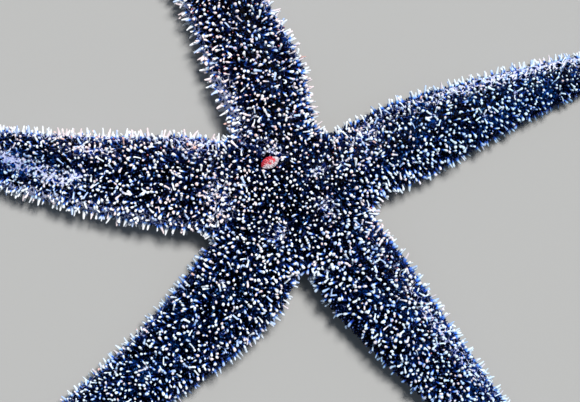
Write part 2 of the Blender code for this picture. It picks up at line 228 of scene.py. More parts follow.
# The mouth's lip, a ring with its own two radii, and each jaw's spines: radians round from the jaw's middle,
# how far out and how high in millimetres
LIP_RADIUS, LIP_HALF_WIDTH = 2.15 * MM, 0.95 * MM
LIP_HEIGHT, LIP_HALF_HEIGHT = 3.9 * MM, 2.1 * MM
LIP_SIDES, LIP_AROUND = 60, 14
JAWS, JAW_TURN = 5, 54
JAW_SPINES = (
    (-0.3, 4.3, 1.9), (-0.1, 4.0, 2.0), (0.1, 4.0, 2.0), (0.3, 4.3, 1.9),
    (-0.2, 5.2, 1.2), (0.2, 5.2, 1.2), (0, 5.4, 1.1),
)
JAW_SPINE_LENGTH, JAW_SPINE_RADIUS, JAW_GAP = 2.2 * MM, 0.3 * MM, 0.45 * MM

# The tentacle at an arm's end, in millimetres: how far beyond the eyespot's middle, and the radius there
TENTACLE = (
    (-2.6, 0.55), (-1.6, 0.62), (-0.9, 0.72), (-0.35, 0.92), (0.0, 0.95),
    (0.3, 0.86), (0.52, 0.6), (0.62, 0.3), (0.65, 0),
)

# The floor, and the camera straight above: its height, and its picture's width at the height of CAMERA_FOCUS
FLOOR_HALF = 3.0
CAMERA_HEIGHT = 0.55
CAMERA_FIELD = 0.145
CAMERA_FOCUS = 8 * MM
SENSOR = 36

centre = sum(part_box("madreporite"), Vector()).xy / 2 - SIEVE_PLACE
rng = np.random.default_rng(5)


def smooth_step(x):
    x = np.clip(x, 0.0, 1.0)
    return x * x * (3 - 2 * x)


def mix(a, b, share):
    return a + (b - a) * share


def unit(v):
    return v / np.maximum(np.linalg.norm(v, axis=-1, keepdims=True), 1e-12)


def sideways(share):
    """From -1 on the right edge, at share 0, to 1 on the left one, at share 1."""
    return np.sin(np.pi * (share - 0.5))


# ---------------- the body's shape


class Arm:
    """One arm's middle line and sizes, for arrays of distances from the disc's centre."""

    def __init__(self, index, name, headings, length, width_share, notch_out):
        self.index, self.name, self.length = index, name, length
        self.headings = np.radians(headings)
        self.width_share, self.notch_out = width_share, notch_out
        self.at = np.linspace(0, length, PATH_STEPS + 1)
        h = self.heading((self.at[1:] + self.at[:-1]) / 2)
        steps = np.stack([np.cos(h), np.sin(h)], 1) * length / PATH_STEPS
        self.path = np.vstack([np.zeros(2), np.cumsum(steps, axis=0)]) + np.array(centre)

    def heading(self, s):
        u = s / self.length
        root, middle, tip = self.headings
        return root * (1 - u) * (1 - 2 * u) + middle * 4 * u * (1 - u) + tip * u * (2 * u - 1)

    def centre(self, s):
        return np.stack([np.interp(s, self.at, self.path[:, k]) for k in (0, 1)], -1)

    def forward(self, s):
        h = self.heading(s)
        return np.stack([np.cos(h), np.sin(h)], -1)

    def leftward(self, s):
        h = self.heading(s)
        return np.stack([-np.sin(h), np.cos(h)], -1)

    def nose(self, s):
        x = np.clip(1 - (self.length - INSET - s) / NOSE, 0, 1)
        return np.sqrt(1 - x * x)

    def full_half_width(self, s):
        u = s / self.length
        waist = 1 - WAIST * np.exp(-((u / WAIST_REACH) ** 2))
        return self.width_share * ARM_HALF_WIDTH * waist * (1 - (1 - BLUNTNESS) * u) ** TAPER_POWER

    def half_width(self, s):
        return (self.full_half_width(s) - INSET) * self.nose(s)

    def height(self, s):
        """From the sole to the ridge."""
        own = CREST_BASE + CREST_PER_WIDTH * self.full_half_width(s)
        at_pole = CREST_BASE + CREST_PER_WIDTH * self.full_half_width(0)
        crest = own + (DISC_CREST - at_pole) * np.exp(-((s / DISC_REACH) ** 2))
        return (crest - 2 * INSET) * self.nose(s)

    def sole(self, s):
        turned_up = TIP_LIFT * smooth_step((s / self.length - LIFT_START) / (1 - LIFT_START))
        nose_height = self.height(np.float64(self.length - INSET - NOSE))
        return INSET + turned_up + NOSE_RISE * nose_height * (1 - self.nose(s))

    def bearing(self):
        x, y = self.centre(np.float64(NOTCH_RING)) - np.array(centre)
        return math.atan2(y, x)


def notch_between(arm, following):
    a = arm.bearing()
    turn = (following.bearing() - a) % (2 * math.pi)
    half_width = (arm.half_width(NOTCH_RING) + following.half_width(NOTCH_RING)) / 2
    reach = half_width / math.sin(turn / 2) + NOTCH_ROUNDING + arm.notch_out
    return reach * np.array([math.cos(a + turn / 2), math.sin(a + turn / 2)])


def bezier(p0, p1, p2, p3, t):
    k = 1 - t
    return k**3 * p0 + 3 * k * k * t * p1 + 3 * k * t * t * p2 + t**3 * p3


class Sector:
    """One arm with its share of the disc, as a surface over the distance s and a place round the section."""

    def __init__(self, arm, right_notch, left_notch):
        self.arm = arm
        self.notches = {-1: right_notch, 1: left_notch}

    def edge(self, side, s):
        """The outline in plan: straight out to the notch, round it, and then along the arm."""
        arm, notch, middle = self.arm, self.notches[side], np.array(centre)
        rho = np.clip(s / NOTCH_RING, 0, 1)[:, None]
        t = np.clip((s - NOTCH_RING) / (ARM_START - NOTCH_RING), 0, 1)[:, None]
        outward = notch / np.linalg.norm(notch)
        start = middle + notch
        after = start + NOTCH_SPREAD * side * np.array([outward[1], -outward[0]])
        at = np.float64(ARM_START)
        end = arm.centre(at) + side * arm.half_width(at) * arm.leftward(at)
        curve = bezier(start, after, end - ROOT_EASE * arm.forward(at), end, t)
        along = arm.centre(s) + side * arm.half_width(s)[:, None] * arm.leftward(s)
        return np.where(s[:, None] < NOTCH_RING, middle + rho * notch, np.where(t < 1, curve, along))

    def heights(self, s):
        arm = self.arm
        rho = np.clip(s / NOTCH_RING, 0, 1)
        t = np.clip((s - NOTCH_RING) / (ARM_START - NOTCH_RING), 0, 1)
        notch = NOTCH_HEIGHT - INSET
        arm_edge = EDGE_HEIGHT * arm.height(np.maximum(s, ARM_START))
        outer = mix(notch, arm_edge, t)
        pole = DISC_CREST - 2 * INSET
        inside = s < NOTCH_RING
        return SimpleNamespace(
            top=arm.height(s),
            top_edge=np.where(inside, notch + (pole - notch) * np.sqrt(1 - rho**3), outer),
            sole_edge=np.where(inside, notch * smooth_step((rho - 0.75) / 0.25), outer),
            arch=mix(POLE_ARCH, BACK_ARCH, rho**2),
            groove=GROOVE_DEPTH * (arm.height(s) + 2 * INSET),
            hollow=1 - smooth_step((s - MOUTH_RADIUS) / MOUTH_SLOPE),
            sole=arm.sole(s),
        )

    def plan(self, s, v):
        right, left, middle = self.edge(-1, s), self.edge(1, s), self.arm.centre(s)
        v = v[:, None]
        return middle + v * (left - right) / 2 + v * v * ((left + right) / 2 - middle)

    def back(self, s, share):
        """The arched back, from the right edge at share 0 to the left one at 1."""
        h = self.heights(s)
        angle = np.pi * (share - 0.5)
        z = h.top_edge + (h.top - h.top_edge) * np.clip(np.cos(angle), 0, 1) ** h.arch
        return np.column_stack([self.plan(s, np.sin(angle)), h.sole + z])

    def under(self, s, share):
        """The underside, from the right edge across the groove to the left one."""
        h = self.heights(s)
        v = sideways(share)
        side = 1 - np.sqrt(1 - np.clip((np.abs(v) - SOLE_FLAT) / SOLE_ROUND, 0, 1) ** 2)
        z = h.sole_edge * side + h.groove * smooth_step((GROOVE_EDGE - np.abs(v)) / GROOVE_SLOPE)
        return np.column_stack([self.plan(s, v), h.sole + mix(z, MOUTH_DEPTH, h.hollow)])


def make_sectors():
    arms = [Arm(i, name, *sizes) for i, (name, sizes) in enumerate(ARMS.items())]
    notches = [notch_between(arm, arms[(i + 1) % len(arms)]) for i, arm in enumerate(arms)]
    return [Sector(arm, notches[i - 1], notches[i]) for i, arm in enumerate(arms)]


# ---------------- markings


# Soft-edged patches by kind and arm: where along the arm and how far that reaches, in millimetres, where
# across it from -1 on the right edge to 1 on the left one, how far that reaches, and the strength. Pale is
# netted white skin, warm and cool shift the colours, dim has fewer spines and darkens the rest with painted
# shade, and long has longer spines on the edge.
MARKS = {
    "pale": {
        "east": (
            (62, 30, 0.88, 0.24, 1.0), (90, 14, 0.3, 0.5, 0.4), (6, 3, 0.44, 0.4, 0.4),
            (22, 4, 0.55, 0.3, 0.35),
        ),
        "west": (
            (84, 8, -0.15, 0.16, 0.9), (75, 6, -0.06, 0.16, 1.0), (67, 6, 0.13, 0.18, 1.0),
            (60, 4.5, 0.34, 0.15, 1.0), (55, 3, 0.12, 0.1, 0.8), (53, 6, -0.58, 0.12, 0.7),
            (60, 34, 0.9, 0.17, 0.95), (55, 40, -1.0, 0.13, 0.9), (26, 6, -0.8, 0.25, 0.35),
            (19, 3, 0.2, 0.3, 0.5), (18, 3, 0.7, 0.2, 0.4),
        ),
        "north": (
            (50, 32, 0.95, 0.15, 0.75), (26, 9, 0.9, 0.22, 0.7), (10, 3, 0.5, 0.4, 0.4),
            (55, 36, -1.0, 0.1, 0.85),
        ),
        "southeast": ((9, 3, 0.48, 0.4, 0.4), (52, 22, 0.72, 0.16, 0.5), (70, 34, 1.0, 0.1, 0.5)),
        "southwest": ((13, 3, 0.09, 0.4, 0.25), (70, 50, -1.0, 0.1, 0.6), (70, 50, 1.0, 0.1, 0.4)),
    },
    "warm": {
        "west": ((45, 28, -0.85, 0.3, 1.0), (53, 9, -0.55, 0.2, 1.0), (25, 10, 0.2, 0.6, 0.6)),
        "east": ((15, 8, 0.4, 0.6, 0.9),),
        "north": ((45, 40, 0.3, 1.2, 0.7), (52, 38, 0.85, 0.4, 1.0), (40, 30, -0.95, 0.3, 1.0)),
        "southeast": ((22, 8, 0.9, 0.3, 1.0), (55, 30, 0.1, 0.8, 0.4)),
    },
    "cool": {
        "east": ((60, 45, -0.2, 1.2, 1.0),),
        "southeast": ((70, 55, 0.3, 1.5, 0.8),),
        "southwest": ((70, 40, -0.2, 1.0, 0.6),),
        "north": ((45, 30, -0.6, 0.6, 0.4),),
        "west": ((78, 22, 0.15, 0.6, 1.0),),
    },
    "dim": {
        "west": ((77, 17, 0.05, 0.35, 0.75),),
        "east": ((74, 32, -1.0, 0.22, 1.0),),
        "southwest": ((30, 30, -1.0, 0.15, 0.5), (60, 40, 1.0, 0.15, 0.5)),
        "southeast": ((50, 40, -1.0, 0.22, 0.9),),
    },
    "long": {
        "north": ((66, 24, 1.0, 0.2, 1.0),),
    },
}


def marking(kind, arms, s, share):
    """How strongly a marking shows at places on the back, the same for the skin and what grows on it."""
    found = np.zeros(len(s))
    across = sideways(share)
    on_arm = smooth_step((s - 0.7 * NOTCH_RING) / (10 * MM)) if kind == "pale" else np.ones(len(s))
    for index, name in enumerate(ARMS):
        for at, reach, across_at, across_reach, strength in MARKS[kind].get(name, ()):
            away = ((s - at * MM) / (reach * MM)) ** 2
            near = np.exp(-away - ((across - across_at) / across_reach) ** 2)
            found += strength * near * (arms == index) * (on_arm if at * MM > ARM_START else 1)
    return np.clip(found, 0, 1)


def marked(kind, places):
    """How strongly a marking shows at scattered places."""
    return marking(kind, places.arm, places.s, places.share)


# ---------------- meshes


def link(name, data):
    """A new object in the scene."""
    obj = bpy.data.objects.new(name, data)
    bpy.context.scene.collection.objects.link(obj)
    return obj


def make_piece(name, points, faces, material, uv, paint):
    """A mesh object that rides on the animal, with a place on the unwrap and a paint at each point."""
    mesh = bpy.data.meshes.new(name)
    mesh.from_pydata(points.tolist(), [], faces.tolist())
    corners = np.empty(len(mesh.loops), np.int32)
    mesh.loops.foreach_get("vertex_index", corners)
    layer = mesh.uv_layers.new(name="OFBake")
    layer.data.foreach_set("uv", uv[corners].astype(np.float32).ravel())
    layer = mesh.color_attributes.new("paint", "FLOAT_COLOR", "POINT")
    layer.data.foreach_set("color", paint.astype(np.float32).ravel())
    mesh.shade_smooth()
    mesh.materials.append(material)
    obj = link(name, mesh)
    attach(obj, "root")
    return obj


def clean(obj, slivers=False):
    """Merges doubled points, takes out slivers if asked to, and turns every face outwards."""
    bm = bmesh.new()
    bm.from_mesh(obj.data)
    bmesh.ops.remove_doubles(bm, verts=bm.verts, dist=WELD)
    if slivers:
        bmesh.ops.dissolve_degenerate(bm, edges=bm.edges, dist=WELD)
    bmesh.ops.recalc_face_normals(bm, faces=bm.faces)
    bm.to_mesh(obj.data)
    bm.free()


def read_points(mesh, what):
    """The places or the normals of a mesh's points."""
    values = np.empty(len(mesh.vertices) * 3, np.float32)
    mesh.vertices.foreach_get(what, values)
    return values.reshape(-1, 3)


def grid_faces(rows, columns, closed=False):
    i, j = np.meshgrid(np.arange(rows - 1), np.arange(columns if closed else columns - 1), indexing="ij")
    k = (j + 1) % columns
    corners = (i * columns + j, i * columns + k, (i + 1) * columns + k, (i + 1) * columns + j)
    return np.stack(corners, -1).reshape(-1, 4)


def on_unwrap(arm, under, s, across):
    """Places on the unwrap, from the way along an arm and the way across its back or underside."""
    u = UNWRAP_MARGIN + UNWRAP_COLUMN * under + s
    v = UNWRAP_ROW * (arm.index + UNWRAP_FIRST) + across
    return np.stack(np.broadcast_arrays(u, v), -1) / UNWRAP_SIZE


def make_strip(sector, under):
    """A strip of skin as a grid, unwrapped as long and as wide as it really is."""
    arm = sector.arm
    nose = arm.length - INSET - NOSE
    ends = (0, NOTCH_RING, ARM_START, nose)
    even = [np.linspace(a, b, round((b - a) / SKIN_STEP) + 1)[:-1] for a, b in zip(ends, ends[1:])]
    s = np.concatenate([*even, nose + NOSE * np.sin(np.linspace(0, np.pi / 2, 9))])
    share = np.linspace(0, 1, (SOLE_COLUMNS if under else BACK_COLUMNS) + 1)
    s_all, share_all = (a.ravel() for a in np.meshgrid(s, share, indexing="ij"))
    shape = sector.under if under else sector.back
    points = shape(s_all, share_all).reshape(len(s), len(share), 3)
    steps = np.linalg.norm(np.diff(points, axis=1), axis=2)
    across = np.concatenate([np.zeros((len(s), 1)), np.cumsum(steps, axis=1)], axis=1)
    across -= across[:, -1:] / 2
    uv = on_unwrap(arm, under, s[:, None], across)
    return SimpleNamespace(arm=arm, under=under, s=s, share=share, points=points, uv=uv)


def scatter_on(strip, count, low=0.0, high=1.0, s_low=0.0):
    """Random places spread evenly over a strip, within limits of its share and distance."""
    p = strip.points
    a, b, c, d = p[:-1, :-1], p[1:, :-1], p[1:, 1:], p[:-1, 1:]
    normals = np.cross(c - a, d - b)
    area = np.linalg.norm(normals, axis=2) / 2
    inside = (strip.share[:-1] >= low) & (strip.share[1:] <= high)
    area = area * inside[None, :] * (strip.s[:-1] >= s_low)[:, None]
    pick = rng.choice(area.size, count, p=area.ravel() / area.sum())
    i, j = np.unravel_index(pick, area.shape)
    x, y = rng.random(count), rng.random(count)

    def blend(grid):
        x_, y_ = x[:, None], y[:, None]
        return mix(mix(grid[i, j], grid[i + 1, j], x_), mix(grid[i, j + 1], grid[i + 1, j + 1], x_), y_)

    s = mix(strip.s[i], strip.s[i + 1], x)
    return SimpleNamespace(
        point=blend(p),
        normal=unit(normals[i, j]),
        s=s,
        share=mix(strip.share[j], strip.share[j + 1], y),
        arm=np.full(count, strip.arm.index),
        width=strip.arm.full_half_width(s),
        uv=blend(strip.uv),
    )


def scattered(backs, count, *limits):
    """Random places over all the backs, in a random order and clear of the sieve plate."""
    every = joined([scatter_on(back, count, *limits) for back in backs])
    every = taken(every, rng.permutation(len(every.s)))
    return taken(every, sieve_distance(every.point) > 1)


def joined(parts):
    """All the places of several lots, as one lot."""
    return SimpleNamespace(**{k: np.concatenate([getattr(p, k) for p in parts]) for k in vars(parts[0])})


def taken(places, which):
    """Some of the places, with all that is known of them."""
    return SimpleNamespace(**{k: v[which] for k, v in vars(places).items()})


def thin_out(places, spacing, kept_clear=()):
    """Keeps the places that lie at least their own spacing from every place kept so far.

    Some points may be kept clear by more than that: each is given with its reach."""
    cell = float(spacing.max())
    bins = {}
    for point, reach in kept_clear:
        bins.setdefault(tuple((point // cell).astype(int)), []).append((point, reach))
    around = [(i, j, k) for i in (-1, 0, 1) for j in (-1, 0, 1) for k in (-1, 0, 1)]
    kept = []
    for n, (point, own) in enumerate(zip(places.point, spacing)):
        x, y, z = (point // cell).astype(int)
        near = [q for i, j, k in around for q in bins.get((x + i, y + j, z + k), ())]
        if all(sum((point - q) ** 2) > (reach or own) ** 2 for q, reach in near):
            bins.setdefault((x, y, z), []).append((point, None))
            kept.append(n)
    return taken(places, np.array(kept))


def nearest(points, others):
    """How far each point is from the nearest of the others, and which that is."""
    tree = KDTree(len(others))
    for i, other in enumerate(others):
        tree.insert(other, i)
    tree.balance()
    found = [tree.find(p)[1:] for p in points.tolist()]
    return np.array([f[1] for f in found]), np.array([f[0] for f in found])


def frames_for(direction):
    """A random set of axes for each direction, which is their third."""
    spin = unit(rng.normal(size=direction.shape))
    first = unit(np.cross(direction, spin))
    return np.stack([first, np.cross(direction, first), direction], -1)


def grow(template, places, bend=0.12, taper=0.0, flare=0.0):
    """Copies a template, which stands along +Z with a unit radius and length, onto every place.

    The places have a direction, a length and a radius. Each copy tapers and flares into a chisel by a random
    share of what is given."""
    points, faces = template.points, template.faces
    n, m = len(places.point), len(points)
    length, radius = places.length[:, None], places.radius[:, None, None]
    local = np.broadcast_to(points, (n, m, 3)).copy()
    local[:, :, :2] *= radius * rng.uniform(1 - SWELL, 1 + SWELL, (n, 1, 2))
    up = np.clip(points[None, :, 2:], 0, 1)
    local[:, :, :2] *= 1 - taper * rng.uniform(-0.4, 1, (n, 1, 1)) * up
    local[:, :, :2] *= 1 + flare * rng.random((n, 1, 1)) * up * np.array([1, -0.5])
    local += ROUGHNESS * rng.normal(size=local.shape) * radius * np.array([1, 1, 0.6])
    lean = rng.normal(size=(n, 1, 2)) * bend * length[:, :, None]
    local[:, :, :2] += lean * up**2
    local[:, :, 2] *= length
    world = places.point[:, None] + np.einsum("nij,nmj->nmi", frames_for(places.direction), local)
    patches = places.uv[:, None] + PATCH / 2 * template.flat[None]
    return SimpleNamespace(
        points=world.reshape(-1, 3),
        faces=(faces[None] + (np.arange(n) * m)[:, None, None]).reshape(-1, 3),
        uv=patches.reshape(-1, 2),
        along=np.tile(np.clip(points[:, 2], 0, 1), n),
        each=m,
        places=places,
    )


def painted(grown):
    """The colour of each place, with the share of the way from root to tip as its alpha."""
    places, each = grown.places, grown.each
    start = np.broadcast_to(getattr(places, "pale_from", 0.0), len(places.colour))
    along = mix(np.repeat(start, each), 1.0, grown.along)
    paint = np.column_stack([np.repeat(places.colour, each, axis=0), along])
    paint[each - 1 :: each][getattr(places, "warm_tip", []), :3] = WARM_TIP
    return paint


def make_grown(name, parts, material):
    """One piece from several growths."""
    starts = np.cumsum([0] + [len(p.points) for p in parts[:-1]])
    points = np.vstack([p.points for p in parts])
    faces = np.vstack([p.faces + start for p, start in zip(parts, starts)])
    uv = np.vstack([p.uv for p in parts])
    paint = np.vstack([painted(p) for p in parts])
    return make_piece(name, points, faces, material, uv, paint)


def make_for_arms(kind, template, places, material, slot, **form):
    """A piece for each arm, of what grows at the places on it."""
    for index, name in enumerate(ARMS):
        own = taken(places, places.arm == index)
        make_grown(f"{kind}_{name}", [grow(template, own, **form)], material)


def turned(sides, *profile):
    """A template from (radius, height) pairs, which end on the axis, as triangles. Its flat map is polar."""
    angles = 2 * np.pi * np.arange(sides) / sides
    ring = np.column_stack([np.cos(angles), np.sin(angles)])
    rows = [np.column_stack([r * ring, np.full(sides, z)]) for r, z in profile[:-1]]
    points = np.vstack(rows + [[[0, 0, profile[-1][1]]]])
    quads = grid_faces(len(rows), sides, closed=True)
    last = (len(rows) - 1) * sides + np.arange(sides)
    end = np.column_stack([last, np.roll(last, -1), np.full(sides, len(points) - 1)])
    flat = np.vstack([ring * (1 - i / len(rows)) for i in range(len(rows))] + [[[0, 0]]])
    faces = np.vstack([quads[:, [0, 1, 2]], quads[:, [0, 2, 3]], end])
    return SimpleNamespace(points=points, faces=faces, flat=flat)


# Templates: the number of sides, and then the profile, which starts under the skin
SPINE = turned(8, (0.76, -0.22), (0.62, 0.08), (0.65, 0.32), (0.84, 0.57), (1.0, 0.78), (0.75, 0.94), (0, 1.0))
STOUT = turned(8, (1.7, -0.15), (1.35, 0.08), (0.95, 0.36), (0.72, 0.68), (0.54, 0.9), (0.3, 0.98), (0, 1.0))
NEEDLE = turned(6, (1.2, -0.1), (1.0, 0.3), (0.8, 0.7), (0.5, 0.95), (0, 1.0))
GILL = turned(5, (1.0, -0.2), (1.1, 0.35), (0.7, 0.85), (0, 1.0))
FOOT = turned(
    10, (0.8, -0.1), (0.9, 0.1), (0.78, 0.3), (0.85, 0.5), (0.72, 0.7), (0.68, 0.85),
    (1.0, 0.92), (1.15, 0.97), (0.9, 1.0), (0.3, 0.985), (0, 0.96),
)

# Linear colours of the spines, each with its share of them all
TINTS = (
    ((0.92, 0.95, 0.99), 0.72),
    ((0.93, 0.80, 0.82), 0.11),
    ((0.85, 0.52, 0.46), 0.002),
    ((0.55, 0.68, 0.96), 0.15),
)
COOL_SHADE = np.array((0.68, 0.88, 1.0))
# The darker, bluer tint that the dim markings give the spines, as painted shade
DIM_SHADE = np.array((0.22, 0.36, 0.55))


def tint_for(places):
    """A colour for each place: mostly near-white, pinker where warm, bluer where cool, and painted shade where
    dim.
    """
    n = len(places.s)
    colours = np.array([colour for colour, _ in TINTS])
    shares = np.array([share for _, share in TINTS])[None] * np.ones((n, 1))
    warm = marked("warm", places)
    shares[:, 1] += 0.4 * warm
    shares[:, 2] += 0.015 * warm
    shares /= shares.sum(axis=1, keepdims=True)
    chosen = (rng.random((n, 1)) < np.cumsum(shares, axis=1)).argmax(axis=1)
    cool, dim = (marked(kind, places)[:, None] for kind in ("cool", "dim"))
    # The dim markings' darker, bluer tint is painted shade.
    shade = mix(np.ones(3), COOL_SHADE, cool) * mix(np.ones(3), DIM_SHADE, dim)
    return colours[chosen] * shade * rng.uniform(0.84, 1.05, (n, 1))


def tilted(normal, spread):
    """Directions that lean away from the normal by a random angle."""
    side = unit(np.cross(normal, rng.normal(size=normal.shape)))
    angle = np.minimum(np.abs(rng.normal(size=len(normal))) * spread, MOST_LEAN)[:, None]
    return np.cos(angle) * normal + np.sin(angle) * side


def keep_off_floor(roots, direction, length, least=FLOOR_GAP):
    """Turns up the directions that would reach below the floor."""
    lowest = (least - roots[:, 2]) / length
    flat = unit(direction[:, :2])
    z = np.maximum(direction[:, 2], np.clip(lowest, -0.999, 0.9))
    return np.column_stack([flat * np.sqrt(1 - z * z)[:, None], z])


# ---------------- materials


def feed(socket, value):
    """Links a node's input to a socket, or sets it to a number or a colour."""
    if isinstance(value, bpy.types.NodeSocket):
        socket.id_data.links.new(value, socket)
    else:
        socket.default_value = value


class Surface:
    """A new material with a Principled shader, object coordinates and the painted attribute at hand."""

    def __init__(self, name, **constants):
        self.material = bpy.data.materials.new(name)
        self.material.use_nodes = True
        self.tree = self.material.node_tree
        self.shader = self.tree.nodes["Principled BSDF"]
        for key, value in constants.items():
            self.set(key.replace("_", " "), value)
        self.place = self.node("ShaderNodeTexCoord").outputs["Object"]
        paint = self.node("ShaderNodeAttribute", attribute_name="paint")
        self.paint, self.alpha = paint.outputs["Color"], paint.outputs["Alpha"]
        split = self.node("ShaderNodeSeparateColor", self.paint)
        self.red, self.green, self.blue = split.outputs

    def set(self, name, value):
        feed(self.shader.inputs[name], value)

    def node(self, kind, *numbered, **named):
        """A new node: its first inputs in order, and by name its settings and its inputs, with a capital."""
        made = self.tree.nodes.new(kind)
        for name, value in named.items():
            if name[0].isupper():
                feed(made.inputs[name], value)
            else:
                setattr(made, name, value)
        for socket, value in zip(made.inputs, numbered):
            feed(socket, value)
        return made

    def noise(self, scale, detail=3.0, roughness=0.55):
        named = dict(Vector=self.place, Scale=scale, Detail=detail, Roughness=roughness)
        return self.node("ShaderNodeTexNoise", **named).outputs["Fac"]

    def cells(self, scale, feature="F1", wander=0.0):
        """The distance in a pattern of cells, whose places are pushed about by the given reach."""
        place = self.place
        if wander:
            push = self.node("ShaderNodeTexNoise", Vector=place, Scale=1.3 * scale, Detail=1.0).outputs["Color"]
            push = self.node("ShaderNodeVectorMath", push, (0.5, 0.5, 0.5), operation="SUBTRACT").outputs[0]
            reach = (wander, wander, wander)
            made = self.node("ShaderNodeVectorMath", push, reach, place, operation="MULTIPLY_ADD")
            place = made.outputs[0]
        made = self.node("ShaderNodeTexVoronoi", Vector=place, Scale=scale, feature=feature)
        return made.outputs["Distance"]

    def ramp(self, fac, *stops):
        """A blend through colours, or greys given as one number, at rising values of a factor."""
        made = self.node("ShaderNodeValToRGB", fac)
        elements = made.color_ramp.elements
        while len(elements) < len(stops):
            elements.new(0.5)
        for element, (at, colour) in zip(elements, stops):
            element.position = at
            element.color = (*colour, 1) if isinstance(colour, tuple) else (colour, colour, colour, 1)
        return made.outputs["Color"]

    def blend(self, fac, a, b, kind="MIX"):
        made = self.node("ShaderNodeMix", fac, data_type="RGBA", blend_type=kind)
        for socket, value in zip(made.inputs[6:8], (a, b)):
            feed(socket, (*value, 1) if isinstance(value, tuple) else value)
        return made.outputs[2]

    def maths(self, kind, *values):
        return self.node("ShaderNodeMath", *values, operation=kind).outputs[0]

    def times(self, a, b):
        return self.maths("MULTIPLY", a, b)

    def times_plus(self, a, b, c):
        return self.maths("MULTIPLY_ADD", a, b, c)

    def finish(self, colour, roughness, height, distance, strength):
        """Joins up the shader, with a bump, and returns the material."""
        self.set("Base Color", colour)
        self.set("Roughness", roughness)
        made = self.node("ShaderNodeBump", Height=height, Distance=distance, Strength=strength)
        self.set("Normal", made.outputs["Normal"])
        return self.material


def skin_material():
    """Wet near-black skin with blue and violet patches, paler and netted in the markings."""
    m = Surface("wet_skin", Specular_IOR_Level=0.003)
    pale, warm, raised, cool = m.red, m.green, m.blue, m.alpha
    clouds = m.times_plus(m.noise(260), 0.45, m.times(m.noise(1400, 3, 0.6), 0.55))
    patches = m.ramp(
        m.times_plus(cool, 0.085, clouds),
        (0.52, (0.0001, 0.0001, 0.0004)),
        (0.58, (0.0003, 0.0015, 0.010)),
        (0.63, (0.0008, 0.009, 0.045)),
        (0.71, (0.002, 0.04, 0.22)),
        (0.82, (0.02, 0.015, 0.2)),
    )
    specks = m.ramp(m.cells(1150), (0.16, 1), (0.34, 0))
    patchy = m.ramp(m.noise(900, 2), (0.5, 0), (0.62, 1))
    colour = m.blend(m.times(specks, patchy), patches, (0.03, 0.12, 0.36))
    strand = m.cells(600, "DISTANCE_TO_EDGE", 0.9 * MM)
    veins = m.ramp(strand, (0.02, 1), (0.09, 0))
    broken = m.ramp(m.noise(700, 2), (0.54, 0), (0.64, 0.8))
    colour = m.blend(m.times(veins, broken), colour, (0.012, 0.025, 0.13))
    pools = m.ramp(m.noise(800, 2), (0.5, 0), (0.62, 0.9))
    colour = m.blend(m.times(pale, pools), colour, (0.006, 0.04, 0.36))
    webs = m.times_plus(raised, -0.14, m.times_plus(pale, -0.23, strand))
    webs = m.ramp(m.times_plus(m.noise(1500), 0.34, webs), (0.05, 1), (0.13, 0))
    grain = m.times_plus(raised, 0.35, m.noise(2300, 3, 0.6))
    tissue = m.ramp(grain, (0.4, (0.2, 0.26, 0.6)), (0.55, (0.5, 0.54, 0.76)), (0.76, (0.8, 0.79, 0.86)))
    folded = m.ramp(cool, (0.55, 0), (0.95, 1))
    tissue = m.blend(folded, tissue, (0.46, 0.52, 0.7), "MULTIPLY")
    colour = m.blend(m.times(m.maths("MINIMUM", m.times(pale, 3.0), 1.0), webs), colour, tissue)
    colour = m.blend(m.times(warm, 0.003), colour, (0.35, 0.12, 0.12))
    fine = m.maths("ADD", m.noise(2600), m.times(m.cells(1700), 0.8))
    return m.finish(colour, m.times_plus(m.noise(1500, 2), 0.25, 0.12), fine, 0.1 * MM, 0.35)


def spine_material():
    """Chalky spines in a thin skin: dark at the root, blue above that, and pale at the tip."""
    m = Surface("spine", Specular_IOR_Level=0.25)
    streaks = m.noise(1900, 3, 0.6)
    tissue = m.ramp(
        m.maths("ADD", m.alpha, m.times_plus(streaks, 0.36, -0.18)),
        (0.02, (0.0005, 0.002, 0.025)),
        (0.2, (0.012, 0.06, 0.4)),
        (0.36, (0.07, 0.27, 1.0)),
        (0.47, (0.42, 0.68, 1.0)),
        (0.57, 1),
    )
    colour = m.blend(1.0, m.paint, tissue, "MULTIPLY")
    return m.finish(colour, m.times_plus(streaks, 0.3, 0.35), m.noise(5200, 2), 0.06 * MM, 0.9)


def soft_material(name, dark, pale, shine=0.28):
    """Moist soft tissue, mottled between two colours and paler towards its end."""
    m = Surface(name, Specular_IOR_Level=0.03)
    mottle = m.maths("ADD", m.noise(1300), m.times_plus(m.alpha, 0.5, -0.3))
    colour = m.blend(1.0, m.ramp(mottle, (0.3, dark), (0.75, pale)), m.paint, "MULTIPLY")
    roughness = m.times_plus(m.noise(2200, 2), 0.25, shine - 0.1)
    return m.finish(colour, roughness, m.noise(3800, 2), 0.05 * MM, 0.5)


def sieve_material():
    """Coral red in the grooves, darker red deep in them as painted shade, and in the pools of the middle,
    greyer and pale elsewhere.
    """
    m = Surface("sieve_plate", Specular_IOR_Level=0.4)
    pale, ridge, middle = m.red, m.green, m.blue
    # The darker red where the ridge is low, deep in the grooves, is painted shade.
    grooves = m.ramp(ridge, (0.1, (0.2, 0.001, 0.008)), (0.5, (0.62, 0.01, 0.032)), (0.9, (0.76, 0.1, 0.13)))
    tissue = m.blend(m.times(m.noise(1800), 0.35), grooves, (0.5, 0.015, 0.04))
    grey = m.ramp(m.noise(2600, 2), (0.4, (0.38, 0.28, 0.31)), (0.58, (0.72, 0.69, 0.72)))
    pools = m.times(m.ramp(m.noise(1150, 1), (0.5, 1), (0.56, 0)), middle)
    colour = m.blend(pools, m.blend(pale, tissue, grey), (0.6, 0.006, 0.03))
    return m.finish(colour, m.times_plus(m.noise(2500), 0.3, 0.25), m.noise(4000), 0.06 * MM, 0.7)


